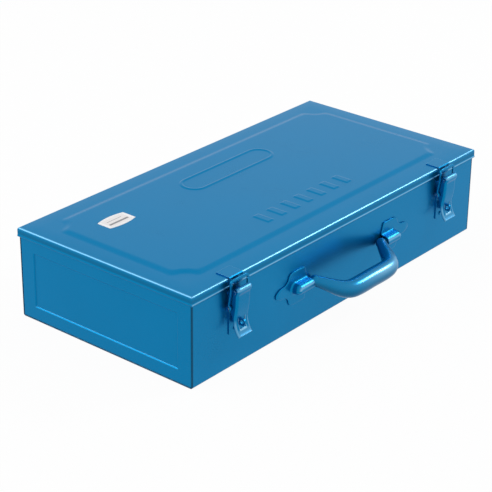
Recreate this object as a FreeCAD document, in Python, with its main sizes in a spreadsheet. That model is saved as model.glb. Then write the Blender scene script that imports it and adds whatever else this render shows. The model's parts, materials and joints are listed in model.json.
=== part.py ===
import FreeCAD, Part
import Sketcher
import math
import os
import re

# Flat steel tool box with a hinged lid, two draw latches, a carry handle and a sliding tray.
# Millimetres. X runs along the length, the front face looks towards -Y, Z is up and the origin
# is the centre of the underside. The lid is shut, the latches are shut and the handle stands
# out from the front as it does when let go.

SIZES = [
    # The lid and the box under it
    ("lid_length", 412.0), ("lid_width", 202.0), ("lid_edge_height", 86.0),
    ("sheet", 0.8), ("lid_gap", 0.5), ("skirt_height", 8.6), ("skirt_bead", 0.4),
    ("bead_height", 2.0), ("lid_fold", 1.9), ("shell_fold", 1.8), ("top_gap", 0.5),
    ("hem_height", 7.0), ("flange_depth", 12.0),
    # The pressed field on the lid
    ("field_side", 17.0), ("field_front", 21.0), ("field_rear", 17.0), ("field_height", 1.6),
    ("field_slope", 7.0), ("field_corner", 16.0), ("emboss_height", 0.7),
    ("bar_x", 9.0), ("bar_in", 56.0), ("bar_half", 46.0), ("bar_radius", 14.5), ("bar_rim", 4.0),
    ("rib_count", 7), ("rib_step", 19.0), ("rib_first", -54.0), ("rib_in", 51.0),
    ("rib_length", 19.0), ("rib_width", 9.0),
    ("label_in", 64.2), ("label_y", 43.5), ("label_length", 32.0), ("label_width", 20.0),
    ("label_thick", 0.15),
    # The pressed panels of the ends and the base
    ("recess_side", 16.5), ("recess_low", 14.0), ("recess_high", 65.0), ("recess_depth", 1.0),
    ("base_bead_margin", 30.0), ("base_bead_width", 8.0), ("base_bead_depth", 1.0),
    # Hinges
    ("hinge_x", 130.0), ("hinge_out", 3.0), ("hinge_drop", 0.4), ("hinge_half", 17.0),
    ("hinge_knuckle", 6.0), ("knuckle_radius", 2.6), ("hinge_pin_radius", 1.3),
    ("hinge_leaf", 1.0), ("body_leaf_height", 16.0), ("running_gap", 0.05), ("side_gap", 0.4),
    # Latches
    ("latch_x", 152.0), ("latch_half", 8.0), ("latch_sheet", 0.8), ("base_plate", 1.0),
    ("latch_pin_radius", 1.2), ("lever_pin_out", 7.2), ("lever_pin_z", 74.5),
    ("link_pin_out", 3.5), ("link_pin_z", 60.0), ("link_side_gap", 1.5), ("link_leg", 2.5),
    ("link_out", 5.0), ("link_thick", 1.4), ("link_top", 86.2), ("ear_thick", 1.2),
    ("staple_out", 9.4), ("staple_z", 45.0), ("staple_radius", 3.3), ("staple_eye", 1.8),
    ("staple_thick", 1.8), ("slot_side", 3.1), ("slot_end", 1.9), ("keeper_side_gap", 1.0),
    ("keeper_flange", 14.0), ("keeper_sheet", 1.0),
    ("tongue_half", 4.0), ("latch_datum", 86.0),
    # Carry handle
    ("pivot_out", 5.5), ("pivot_z", 43.0), ("handle_droop", 19.1), ("handle_reach", 25.9),
    ("handle_end_gap", 0.5), ("grip_radius", 8.5), ("arm_radius", 4.8), ("elbow_radius", 5.1),
    ("pivot_radius", 3.6),
    ("boss_radius", 4.9), ("boss_inner", 55.0), ("boss_length", 22.0), ("bracket_plate", 1.2),
    # Tray
    ("ledge_drop", 36.0), ("ledge_width", 8.0), ("ledge_height", 11.0), ("ledge_end_gap", 14.7),
    ("tray_lift", 0.3), ("tray_length", 200.0), ("tray_end_gap", 16.7), ("tray_side_gap", 2.2),
    ("tray_height", 27.0), ("tray_rim", 2.4),
]

doc = FreeCAD.newDocument("tool_box")
sheet = doc.addObject("Spreadsheet::Sheet", "Sizes")
for row, (name, value) in enumerate(SIZES, start=1):
    sheet.set("A%d" % row, name.replace("_", " "))
    sheet.set("B%d" % row, repr(value))
    sheet.setAlias("B%d" % row, name)
doc.recompute()

BODY_HALF = "(lid_length / 2 - sheet - lid_gap)"
FRONT = "(lid_width / 2 - sheet - lid_gap)"
LID_HALF = "(lid_length / 2)"
LID_FRONT = "(lid_width / 2)"
SKIRT_LOW = "(lid_edge_height - skirt_height)"
WALL_TOP = "(lid_edge_height - sheet - top_gap)"
FIELD_TOP = "(lid_edge_height + field_height)"
TRAY_HALF = "(" + FRONT + " - 2 * sheet - tray_side_gap)"
LEDGE_TOP = "(lid_edge_height - ledge_drop)"
TRAY_FLOOR = "(" + LEDGE_TOP + " + tray_lift)"
TRAY_START = "(tray_end_gap - " + BODY_HALF + ")"
LATCH_RISE = "lid_edge_height - latch_datum"
EAR_IN = "(latch_half - latch_sheet - side_gap - ear_thick)"
LINK_IN = "(latch_half + link_side_gap)"
LINK_HALF = "(latch_half + link_side_gap + link_leg)"
KEEPER_HALF = "(latch_half + link_side_gap - keeper_side_gap)"
HANDLE_HALF = "(boss_inner - handle_end_gap)"

parts = []


def linked(text):
    """The same expression with every size name pointing at its cell."""
    return re.sub(r"(?<![\w.])([a-z]\w*)\b(?!\()", r"Sizes.\1", str(text))


def value(text):
    return float(sheet.evalExpression(linked(text)))


def bind(item, prop, text):
    item.setExpression(prop, linked(text))


def new_body(name):
    body = doc.addObject("PartDesign::Body", name)
    body.Label = name
    parts.append(body)
    return body


def sketch(body, plane, shapes, offset="0", move=None):
    """A sketch on one of the body's own planes, set off along the plane's normal.

    shapes holds ("poly", [(x, y), ...]), ("circle", x, y, r), ("stadium", x, y, half, r) and
    ("scallop", left, right, low, high, r); every number may be an expression.
    """
    sk = body.newObject("Sketcher::SketchObject", body.Name + "_sketch")
    face = [f for f in body.Origin.OriginFeatures if f.Role == plane][0]
    sk.AttachmentSupport = [(face, "")]
    sk.MapMode = "FlatFace"
    if move is None:
        bind(sk, "AttachmentOffset.Base.z", offset)
    else:
        sk.AttachmentOffset = move
    for shape in shapes:
        draw = {"poly": draw_poly, "circle": draw_circle,
                "stadium": draw_stadium, "scallop": draw_scallop}[shape[0]]
        draw(sk, *shape[1:])
    return sk


def pin_point(sk, geo, pos, x, y):
    """Ties a sketch point to two expressions."""
    for kind, text in (("DistanceX", x), ("DistanceY", y)):
        index = sk.addConstraint(Sketcher.Constraint(kind, -1, 1, geo, pos, value(text)))
        bind(sk, "Constraints[%d]" % index, text)


def add_line(sk, start, end):
    a = FreeCAD.Vector(value(start[0]), value(start[1]), 0)
    b = FreeCAD.Vector(value(end[0]), value(end[1]), 0)
    geo = sk.addGeometry(Part.LineSegment(a, b), False)
    pin_point(sk, geo, 1, *start)
    pin_point(sk, geo, 2, *end)
    return geo


def draw_poly(sk, points):
    ends = [FreeCAD.Vector(value(x), value(y), 0) for x, y in points]
    count = len(ends)
    geos = [sk.addGeometry(Part.LineSegment(ends[i], ends[(i + 1) % count]), False)
            for i in range(count)]
    for i in range(count):
        sk.addConstraint(Sketcher.Constraint("Coincident", geos[i], 2, geos[(i + 1) % count], 1))
    for geo, point in zip(geos, points):
        pin_point(sk, geo, 1, *point)


def draw_circle(sk, x, y, r):
    centre = FreeCAD.Vector(value(x), value(y), 0)
    up = FreeCAD.Vector(0, 0, 1)
    geo = sk.addGeometry(Part.Circle(centre, up, value(r)), False)
    pin_point(sk, geo, 3, x, y)
    index = sk.addConstraint(Sketcher.Constraint("Radius", geo, value(r)))
    bind(sk, "Constraints[%d]" % index, r)


def add_arc(sk, centre, r, start, end, before, after):
    """An arc from the end of one line to the start of the next, with its radius tied."""
    middle = FreeCAD.Vector(value(centre[0]), value(centre[1]), 0)
    circle = Part.Circle(middle, FreeCAD.Vector(0, 0, 1), value(r))
    geo = sk.addGeometry(Part.ArcOfCircle(circle, math.radians(start), math.radians(end)), False)
    sk.addConstraint(Sketcher.Constraint("Coincident", geo, before[0], before[1], before[2]))
    sk.addConstraint(Sketcher.Constraint("Coincident", geo, after[0], after[1], after[2]))
    return geo


def draw_stadium(sk, x, y, half, r):
    left = "%s - (%s)" % (x, half)
    right = "%s + (%s)" % (x, half)
    low = "%s - (%s)" % (y, r)
    high = "%s + (%s)" % (y, r)
    bottom = add_line(sk, (left, low), (right, low))
    top = add_line(sk, (right, high), (left, high))
    for x_end, start, end, first, last in ((right, -90, 90, bottom, top), (left, 90, 270, top, bottom)):
        geo = add_arc(sk, (x_end, y), r, start, end, (1, first, 2), (2, last, 1))
        index = sk.addConstraint(Sketcher.Constraint("DistanceX", -1, 1, geo, 3, value(x_end)))
        bind(sk, "Constraints[%d]" % index, x_end)


def draw_scallop(sk, left, right, low, high, r):
    """A rectangle whose corners are bitten out by quarter circles centred on them."""
    lines = [
        add_line(sk, ("%s + %s" % (left, r), low), ("%s - %s" % (right, r), low)),
        add_line(sk, (right, "%s + %s" % (low, r)), (right, "%s - %s" % (high, r))),
        add_line(sk, ("%s - %s" % (right, r), high), ("%s + %s" % (left, r), high)),
        add_line(sk, (left, "%s - %s" % (high, r)), (left, "%s + %s" % (low, r))),
    ]
    corners = [((right, low), 90, 180), ((right, high), 180, 270),
               ((left, high), 270, 360), ((left, low), 0, 90)]
    for i, (corner, start, end) in enumerate(corners):
        geo = add_arc(sk, corner, r, start, end, (2, lines[i], 2), (1, lines[(i + 1) % 4], 1))
        index = sk.addConstraint(Sketcher.Constraint("Radius", geo, value(r)))
        bind(sk, "Constraints[%d]" % index, r)


def feature(body, kind, profile, length, both=False, back=False):
    item = body.newObject("PartDesign::" + kind, body.Name + "_" + kind.lower())
    item.Profile = profile
    item.SideType = "Symmetric" if both else "One side"
    bind(item, "Length", length)
    item.Reversed = back
    profile.Visibility = False
    body.Tip = item
    doc.recompute()
    return item


def pad(body, plane, shapes, length, offset="0", both=False, back=False):
    return feature(body, "Pad", sketch(body, plane, shapes, offset), length, both, back)


def cut(body, plane, shapes, length, offset="0", both=False, back=False):
    return feature(body, "Pocket", sketch(body, plane, shapes, offset), length, both, back)


def box_of(left, right, low, high):
    return ("poly", [(left, low), (right, low), (right, high), (left, high)])


def loft(body, kind, sketches, ruled):
    item = body.newObject("PartDesign::" + kind, body.Name + "_loft")
    item.Profile = sketches[0]
    item.Sections = sketches[1:]
    item.Ruled = ruled
    for one in sketches:
        one.Visibility = False
    body.Tip = item
    doc.recompute()
    return item


def ball(body, radius, x, y, z):
    item = body.newObject("PartDesign::AdditiveSphere", body.Name + "_ball")
    bind(item, "Radius", radius)
    for axis, place_at in (("x", x), ("y", y), ("z", z)):
        bind(item, "Placement.Base." + axis, place_at)
    body.Tip = item
    doc.recompute()
    return item


def soften(body, kind, size, wanted):
    """Fillets or chamfers the tip's edges that the given test accepts."""
    tip = body.Tip
    names = ["Edge%d" % (i + 1) for i, edge in enumerate(tip.Shape.Edges) if wanted(edge)]
    item = body.newObject("PartDesign::" + kind, body.Name + "_" + kind.lower())
    item.Base = (tip, names)
    bind(item, "Radius" if kind == "Fillet" else "Size", size)
    body.Tip = item
    doc.recompute()
    return item


def runs_along(axis):
    """True for straight edges parallel to the axis 0, 1 or 2."""
    def test(edge):
        box = edge.BoundBox
        spans = [box.XLength, box.YLength, box.ZLength]
        return spans[axis] > 1e-4 and sum(spans) - spans[axis] < 1e-4
    return test


def level(edge, axis, text, slack=0.01):
    """True for an edge that lies wholly at one coordinate."""
    box = edge.BoundBox
    low = [box.XMin, box.YMin, box.ZMin][axis]
    high = [box.XMax, box.YMax, box.ZMax][axis]
    return abs(low - value(text)) < slack and abs(high - value(text)) < slack


def place(body, x="0", y="0", z="0"):
    bind(body, "Placement.Base.x", x)
    bind(body, "Placement.Base.y", y)
    bind(body, "Placement.Base.z", z)


def make_shell():
    """Front, base and rear in one bent sheet with the top edges hemmed inwards."""
    body = new_body("body_shell")
    pad(body, "YZ_Plane", [box_of("-" + FRONT, FRONT, "0", WALL_TOP)], "2 * " + BODY_HALF, both=True)
    soften(body, "Fillet", "shell_fold", lambda e: runs_along(0)(e) and level(e, 2, "0"))
    cut(body, "YZ_Plane", [box_of("sheet - " + FRONT, FRONT + " - sheet", "sheet", WALL_TOP + " + 1")],
        "2 * " + BODY_HALF + " + 2", both=True)
    soften(body, "Fillet", "shell_fold - sheet", lambda e: runs_along(0)(e) and level(e, 2, "sheet"))
    hems = [box_of(side[0], side[1], WALL_TOP + " - hem_height", WALL_TOP)
            for side in (("sheet - " + FRONT, "2 * sheet - " + FRONT),
                         (FRONT + " - 2 * sheet", FRONT + " - sheet"))]
    pad(body, "YZ_Plane", hems, "2 * (" + BODY_HALF + " - flange_depth - 1)", both=True)
    outer = [BODY_HALF + " - base_bead_margin", FRONT + " - base_bead_margin"]
    ring = [box_of("-(%s - %s)" % (outer[0], inset), "%s - %s" % (outer[0], inset),
                   "-(%s - %s)" % (outer[1], inset), "%s - %s" % (outer[1], inset))
            for inset in ("0", "base_bead_width")]
    top = [box_of("-(%s + %s)" % (outer[0], grow), "%s + %s" % (outer[0], grow),
                  "-(%s + %s)" % (outer[1], grow), "%s + %s" % (outer[1], grow))
           for grow in ("sheet", "-(base_bead_width + sheet)")]
    pad(body, "XY_Plane", top, "base_bead_depth", offset="sheet")
    cut(body, "XY_Plane", ring, "base_bead_depth", back=True)


def make_end_panel(name, side):
    """End wall let in between the folded sheet's edges, flanged inwards and pressed in."""
    body = new_body(name)
    half = FRONT + " - sheet"
    face = "%d * %s" % (side, BODY_HALF)
    inward = side > 0
    outline = box_of("-(%s)" % half, half, "sheet", WALL_TOP)
    pad(body, "YZ_Plane", [outline], "flange_depth", offset=face, back=inward)
    soften(body, "Fillet", "shell_fold - sheet", lambda e: runs_along(0)(e) and level(e, 2, "sheet"))
    soften(body, "Fillet", "shell_fold / 2",
           lambda e: level(e, 0, face) and not level(e, 2, WALL_TOP))
    cut(body, "YZ_Plane", [box_of("sheet - (%s)" % half, half + " - sheet", "2 * sheet", WALL_TOP + " + 1")],
        "flange_depth + 1", offset="%s - %d * sheet" % (face, side), back=not inward)
    pad(body, "YZ_Plane", [box_of("sheet - (%s)" % half, half + " - sheet",
                                  WALL_TOP + " - hem_height", WALL_TOP)],
        "sheet", offset="%s - %d * sheet" % (face, side), back=inward)
    wide = FRONT + " - recess_side"
    pad(body, "YZ_Plane", [box_of("-(%s + sheet)" % wide, wide + " + sheet",
                                  "recess_low - sheet", "recess_high + sheet")],
        "recess_depth", offset="%s - %d * sheet" % (face, side), back=inward)
    cut(body, "YZ_Plane", [box_of("-(%s)" % wide, wide, "recess_low", "recess_high")],
        "recess_depth", offset=face, back=not inward)
    limits = [value("-(%s)" % wide), value(wide), value("recess_low"), value("recess_high")]

    def rim_of_recess(edge):
        box = edge.BoundBox
        inside = box.YMin > limits[0] - 0.1 and box.YMax < limits[1] + 0.1
        return level(edge, 0, face) and inside and box.ZMin > limits[2] - 0.1 and box.ZMax < limits[3] + 0.1
    soften(body, "Chamfer", "recess_depth * 0.8", rim_of_recess)


def make_ledge(name, side):
    """Angle strip welded inside a long wall, carrying one edge of the tray."""
    body = new_body(name)
    wall = FRONT + " - sheet"
    s = "%d * " % side
    under = LEDGE_TOP + " - sheet"
    foot = LEDGE_TOP + " - ledge_height"
    profile = [(s + "(%s)" % wall, LEDGE_TOP), (s + "(%s)" % wall, foot),
               (s + "(%s - sheet)" % wall, foot), (s + "(%s - sheet)" % wall, under),
               (s + "(%s - ledge_width)" % wall, under), (s + "(%s - ledge_width)" % wall, LEDGE_TOP)]
    pad(body, "YZ_Plane", [("poly", profile)], "2 * (%s - ledge_end_gap)" % BODY_HALF, both=True)


def field_outline(inset):
    """The pressed field's outline on the lid, moved inwards by the inset."""
    return ("scallop", "-(%s - field_side) + %s" % (LID_HALF, inset), "%s - field_side - %s" % (LID_HALF, inset),
            "-(%s - field_front) + %s" % (LID_FRONT, inset), "%s - field_rear - %s" % (LID_FRONT, inset),
            "field_corner")


def make_lid():
    """Pressed pan: skirt with a beaded lower edge, folded edges and a raised field on top."""
    body = new_body("lid_panel")
    pad(body, "XY_Plane", [box_of("-" + LID_HALF, LID_HALF, "-" + LID_FRONT, LID_FRONT)],
        "skirt_height", offset=SKIRT_LOW)
    soften(body, "Fillet", "lid_fold", lambda e: level(e, 2, "lid_edge_height"))
    out = LID_HALF + " + skirt_bead"
    low = LID_FRONT + " + skirt_bead"
    bead = [("-(%s)" % out, "-(%s)" % low), (out, "-(%s)" % low), (out, LID_FRONT),
            (LID_HALF + " - sheet / 2", LID_FRONT), (LID_HALF + " - sheet / 2", "sheet / 2 - " + LID_FRONT),
            ("sheet / 2 - " + LID_HALF, "sheet / 2 - " + LID_FRONT), ("sheet / 2 - " + LID_HALF, LID_FRONT),
            ("-(%s)" % out, LID_FRONT)]
    pad(body, "XY_Plane", [("poly", bead)], "bead_height", offset=SKIRT_LOW)

    def bead_edge(edge):
        box = edge.BoundBox
        flat = level(edge, 2, SKIRT_LOW) or level(edge, 2, SKIRT_LOW + " + bead_height")
        outside = level(edge, 1, "-(%s)" % low) or level(edge, 0, out) or level(edge, 0, "-(%s)" % out)
        return flat and outside and box.DiagonalLength > 10
    soften(body, "Fillet", "skirt_bead * 0.95", bead_edge)
    rise = [sketch(body, "XY_Plane", [field_outline("0")], "lid_edge_height"),
            sketch(body, "XY_Plane", [field_outline("field_slope")], FIELD_TOP)]
    loft(body, "AdditiveLoft", rise, True)
    inner = box_of("sheet - " + LID_HALF, LID_HALF + " - sheet", "sheet - " + LID_FRONT, LID_FRONT + " - sheet")
    cut(body, "XY_Plane", [inner], "skirt_height", offset="lid_edge_height - sheet")
    dip = [sketch(body, "XY_Plane", [field_outline("0")], "lid_edge_height - sheet - 0.01"),
           sketch(body, "XY_Plane", [field_outline("field_slope")], FIELD_TOP + " - sheet")]
    loft(body, "SubtractiveLoft", dip, True)
    bar_y = LID_FRONT + " - bar_in"
    rings = [("stadium", "bar_x", bar_y, "bar_half", "bar_radius"),
             ("stadium", "bar_x", bar_y, "bar_half", "bar_radius - bar_rim")]
    pad(body, "XY_Plane", rings, "emboss_height", offset=FIELD_TOP)
    half = "rib_length / 2"
    rib_y = "rib_in - " + LID_FRONT
    rib = [("rib_first - rib_width / 2", rib_y + " - " + half), ("rib_first + rib_width / 2", rib_y + " - " + half),
           ("rib_first + rib_width / 2", rib_y + " + " + half), ("rib_first - rib_width / 2", rib_y + " + " + half)]
    first = pad(body, "XY_Plane", [("poly", rib)], "emboss_height", offset=FIELD_TOP)
    row = body.newObject("PartDesign::LinearPattern", "rib_row")
    row.Originals = [first]
    row.Direction = (first.Profile[0], ["H_Axis"])
    row.Length = value("rib_step * (rib_count - 1)")
    bind(row, "Length", "rib_step * (rib_count - 1)")
    row.Occurrences = int(value("rib_count"))
    body.Tip = row
    doc.recompute()
    soften(body, "Chamfer", "emboss_height * 0.75",
           lambda e: level(e, 2, FIELD_TOP + " + emboss_height"))


def make_label():
    """Blank white label with bowed sides, stuck to the lid's field."""
    body = new_body("label_blank")
    half = "label_length / 2"
    wide = "label_width / 2"
    points = [("-(%s)" % half, "-(%s) * 0.76" % wide), ("-(%s) * 0.55" % half, "-(%s) * 0.94" % wide),
              ("0", "-(%s)" % wide), ("(%s) * 0.55" % half, "-(%s) * 0.94" % wide),
              (half, "-(%s) * 0.76" % wide), (half, "(%s) * 0.76" % wide),
              ("(%s) * 0.55" % half, "(%s) * 0.94" % wide), ("0", wide),
              ("-(%s) * 0.55" % half, "(%s) * 0.94" % wide), ("-(%s)" % half, "(%s) * 0.76" % wide)]
    pad(body, "XY_Plane", [("poly", points)], "label_thick")
    place(body, "label_in - " + LID_HALF, "label_y", FIELD_TOP)


def make_hinge(side_name, side):
    """Butt hinge on the rear: a leaf on the box, a leaf on the lid and the pin between them.

    Each is drawn about the hinge axis, with the box to the left of it.
    """
    x = "%d * hinge_x" % side
    axis_y = "%s + hinge_out" % LID_FRONT
    axis_z = "%s - hinge_drop" % SKIRT_LOW
    wall = "-(hinge_out + sheet + lid_gap)"
    skirt = "-hinge_out"

    lower = new_body(side_name + "_hinge_body_leaf")
    pad(lower, "YZ_Plane", [("circle", "0", "0", "knuckle_radius")], "2 * (hinge_half - 1)", both=True)
    neck = [(wall, "-6"), (wall + " + hinge_leaf", "-6"), ("-1.2", "-2.2"), ("-2.4", "-0.4"), (wall, "-2.6")]
    pad(lower, "YZ_Plane", [("poly", neck)], "2 * (hinge_half - 1)", both=True)
    cut(lower, "YZ_Plane", [box_of(wall + " - 1", "knuckle_radius + 1", "-3.2", "knuckle_radius + 1")],
        "2 * (hinge_knuckle + side_gap)", both=True)
    pad(lower, "YZ_Plane", [box_of(wall, wall + " + hinge_leaf", "-body_leaf_height", "-3.2")],
        "2 * hinge_half", both=True)
    cut(lower, "YZ_Plane", [("circle", "0", "0", "hinge_pin_radius")], "2 * hinge_half", both=True)
    place(lower, x, axis_y, axis_z)

    upper = new_body(side_name + "_hinge_lid_leaf")
    pad(upper, "YZ_Plane", [("circle", "0", "0", "knuckle_radius")], "2 * hinge_knuckle", both=True)
    pad(upper, "YZ_Plane", [box_of(skirt, skirt + " + hinge_leaf", "0.6", "4")], "2 * hinge_knuckle", both=True)
    pad(upper, "YZ_Plane", [box_of(skirt, skirt + " + hinge_leaf", "3.2", "skirt_height - 1.6")],
        "2 * hinge_half", both=True)
    cut(upper, "YZ_Plane", [("circle", "0", "0", "hinge_pin_radius + running_gap")],
        "2 * hinge_half", both=True)
    place(upper, x, axis_y, axis_z)

    pin = new_body(side_name + "_hinge_pin")
    pad(pin, "YZ_Plane", [("circle", "0", "0", "hinge_pin_radius")], "2 * (hinge_half - 0.6)", both=True)
    place(pin, x, axis_y, axis_z)


def make_bracket(name, side):
    """Pressed plate on the front face with a bored boss for one end of the handle."""
    body = new_body(name)
    points = [(58, 28), (60.5, 27), (77, 27), (80, 30), (81, 34.5), (85, 38), (93, 38), (97.5, 41),
              (98, 43), (97.5, 45), (93, 48.5), (85, 49), (81, 52), (80, 56), (77, 59), (60.5, 59), (58, 58)]
    outline = [("%d * (boss_inner + %.1f)" % (side, x - 55), "pivot_z + %.1f" % (z - 43)) for x, z in points]
    pad(body, "XZ_Plane", [("poly", outline)], "bracket_plate")
    soften(body, "Fillet", "bracket_plate / 2", lambda e: level(e, 1, "-bracket_plate"))
    start = "%d * boss_inner" % side
    straight = "boss_length - boss_radius"
    nose = "%d * (boss_inner + %s)" % (side, straight)
    back = side < 0
    pad(body, "YZ_Plane", [box_of("-pivot_out", "0", "pivot_z - boss_radius", "pivot_z + boss_radius")],
        straight, offset=start, back=back)
    pad(body, "XZ_Plane", [("circle", nose, "pivot_z", "boss_radius")], "pivot_out")
    pad(body, "YZ_Plane", [("circle", "-pivot_out", "pivot_z", "boss_radius")], straight, offset=start, back=back)
    ball(body, "boss_radius", nose, "-pivot_out", "pivot_z")
    cut(body, "YZ_Plane", [("circle", "-pivot_out", "pivot_z", "pivot_radius + running_gap")],
        straight + " + 2.3", offset="%d * (boss_inner - 1)" % side, back=not back)
    place(body, "0", "-" + FRONT, "0")


def make_handle():
    """Bail handle drawn about its pivot axis, lying flat towards -Y, then turned to its rest."""
    body = new_body("carry_handle")
    # Each station: distance in from the handle's end, share of the reach, turn and swell.
    bend = [(33.0, 1.0, 0, 0.98), (25.4, 0.955, 20, 0.90), (19.9, 0.83, 42, 0.74), (15.8, 0.65, 55, 0.56),
            (11.2, 0.37, 57, 0.30), (5.1, 0.0, 57, 0.0)]
    right = [("%s - elbow_radius - %.1f" % (HANDLE_HALF, inset - 5.1), y, turn, swell)
             for inset, y, turn, swell in bend]
    left = [("-(%s)" % x, y, -turn, swell) for x, y, turn, swell in reversed(right)]
    stations = left + [("0", 1.0, 0, 1.0)] + right
    rings = []
    for x, y, turn, swell in stations:
        radius = "arm_radius + (grip_radius - arm_radius) * %.2f" % swell
        ring = sketch(body, "YZ_Plane", [("circle", "0", "0", radius)])
        ring.AttachmentOffset = FreeCAD.Placement(FreeCAD.Vector(0, 0, 0),
                                                  FreeCAD.Rotation(FreeCAD.Vector(0, 1, 0), turn))
        bind(ring, "AttachmentOffset.Base.x", "-handle_reach * %.3f" % y)
        bind(ring, "AttachmentOffset.Base.z", x)
        rings.append(ring)
    doc.recompute()
    loft(body, "AdditiveLoft", rings, False)
    for side in (-1, 1):
        elbow = "%d * (%s - elbow_radius)" % (side, HANDLE_HALF)
        ball(body, "elbow_radius", elbow, "0", "0")
        pad(body, "YZ_Plane", [("circle", "0", "0", "pivot_radius")],
            "boss_length - boss_radius + elbow_radius + handle_end_gap + 1", offset=elbow, back=side < 0)
    turn = FreeCAD.Rotation(FreeCAD.Vector(1, 0, 0), value("handle_droop"))
    body.Placement = FreeCAD.Placement(FreeCAD.Vector(0, 0, 0), turn)
    place(body, "0", "-(%s + pivot_out)" % FRONT, "pivot_z")


# Outline of a lever's outer face as (distance out from the front wall, height).
LEVER_FACE = [(9.4, 77.9), (10.6, 77.4), (11.0, 76.4), (10.9, 72), (10.4, 66), (9.5, 59), (8.4, 53),
              (7.8, 49.5), (7.7, 46), (8.4, 42.5), (9.8, 39), (11.6, 36), (13.2, 34.2)]
LEVER_BACK = [(12.4, 33.6), (10.7, 35.3), (8.9, 38.4), (7.5, 42.2), (6.9, 46), (6.4, 49.6), (4.2, 53.5),
              (2.0, 56.6), (1.4, 58.6), (1.5, 62), (3.2, 68), (4.7, 72), (4.7, 76.4), (6.0, 77.9)]
LEVER_INSIDE = [(5.2, 80.0), (8.8, 80.0), (10.1, 76.3), (10.05, 72), (9.55, 66), (8.65, 59), (7.55, 53),
                (6.95, 49.5), (6.5, 47.5), (0.0, 47.5), (0.0, 80.0)]


def out_from_wall(points):
    return [("-%.2f" % u if u else "0", "%.2f" % z) for u, z in points]


def bore(body, out, z, r, length):
    cut(body, "YZ_Plane", [("circle", "-" + out, z, r)], length, both=True)


def make_latch(side_name, side):
    """Draw latch: base with ears, padlock staple, lever, link and their pins, about its middle."""
    at = ("%d * latch_x" % side, "-" + FRONT, LATCH_RISE)

    base = new_body(side_name + "_latch_base")
    pad(base, "XZ_Plane", [box_of("-latch_half + 0.6", "latch_half - 0.6", "33", "71")], "base_plate")
    ears = [("-base_plate + 0.2", "59"), ("-base_plate + 0.2", "70"), ("-lever_pin_out", "lever_pin_z + 2.3"),
            ("-lever_pin_out - 2", "lever_pin_z + 1.2"), ("-lever_pin_out - 2.3", "lever_pin_z"),
            ("-lever_pin_out - 1.4", "lever_pin_z - 2"), ("-base_plate - 1.2", "63.5"), ("-base_plate - 0.1", "59")]
    for start in ("-(%s + ear_thick)" % EAR_IN, EAR_IN):
        pad(base, "YZ_Plane", [("poly", ears)], "ear_thick", offset=start)
    bore(base, "lever_pin_out", "lever_pin_z", "latch_pin_radius", "4 * latch_half")
    place(base, *at)

    staple = new_body(side_name + "_padlock_staple")
    pad(staple, "YZ_Plane", [box_of("-staple_out", "-base_plate", "staple_z - staple_radius",
                                    "staple_z + staple_radius")], "staple_thick", both=True)
    pad(staple, "YZ_Plane", [("circle", "-staple_out", "staple_z", "staple_radius")],
        "staple_thick", both=True)
    bore(staple, "staple_out", "staple_z", "staple_eye", "4 * staple_thick")
    place(staple, *at)

    rivets = new_body(side_name + "_latch_rivets")
    for z in ("36.8", "54.5"):
        pad(rivets, "XZ_Plane", [("circle", "0", z, "2")], "0.9", offset="base_plate")
    soften(rivets, "Fillet", "0.6", lambda e: level(e, 1, "-base_plate - 0.9"))
    place(rivets, *at)

    pin = new_body(side_name + "_lever_pin")
    pad(pin, "YZ_Plane", [("circle", "-lever_pin_out", "lever_pin_z", "latch_pin_radius")],
        "2 * (latch_half + 0.9)", both=True)
    for flip in (1, -1):
        pad(pin, "YZ_Plane", [("circle", "-lever_pin_out", "lever_pin_z", "latch_pin_radius + 0.6")],
            "0.6", offset="%d * (latch_half + 0.3)" % flip, back=flip < 0)
    place(pin, *at)

    lever = new_body(side_name + "_lever")
    pad(lever, "YZ_Plane", [("poly", out_from_wall(LEVER_FACE + LEVER_BACK))], "2 * latch_half", both=True)
    cut(lever, "YZ_Plane", [("poly", out_from_wall(LEVER_INSIDE))], "2 * (latch_half - latch_sheet)", both=True)
    slot = "(staple_thick / 2 + slot_side)"
    cut(lever, "XZ_Plane", [box_of("-" + slot, slot, "staple_z - staple_radius - slot_end - 0.4",
                                   "staple_z + staple_radius + slot_end")], "40", both=True)
    bore(lever, "lever_pin_out", "lever_pin_z", "latch_pin_radius + running_gap", "4 * latch_half")
    bore(lever, "link_pin_out", "link_pin_z", "latch_pin_radius", "4 * latch_half")
    place(lever, *at)

    link_pin = new_body(side_name + "_link_pin")
    pad(link_pin, "YZ_Plane", [("circle", "-link_pin_out", "link_pin_z", "latch_pin_radius")],
        "2 * (%s + 1)" % LINK_HALF, both=True)
    for flip in (1, -1):
        pad(link_pin, "YZ_Plane", [("circle", "-link_pin_out", "link_pin_z", "latch_pin_radius + 0.6")],
            "0.7", offset="%d * (%s + 0.3)" % (flip, LINK_HALF), back=flip < 0)
    place(link_pin, *at)

    link = new_body(side_name + "_link")
    strip = [("-link_pin_out + 0.7", "link_pin_z"), ("-link_out", "80"), ("-link_out", "link_top - 0.5"),
             ("-link_out - 0.5", "link_top"), ("-link_out - link_thick", "link_top - 0.2"),
             ("-link_out - link_thick", "79"), ("-link_pin_out - 0.9", "link_pin_z")]
    pad(link, "YZ_Plane", [("poly", strip)], "2 * " + LINK_HALF, both=True)
    pad(link, "YZ_Plane", [("circle", "-link_pin_out", "link_pin_z", "2 * latch_pin_radius")],
        "2 * " + LINK_HALF, both=True)
    cut(link, "XZ_Plane", [box_of("-" + LINK_IN, LINK_IN, "50", "link_top - 2.6")], "40", both=True)
    bore(link, "link_pin_out", "link_pin_z", "latch_pin_radius + running_gap", "4 * " + LINK_HALF)
    place(link, *at)


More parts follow.
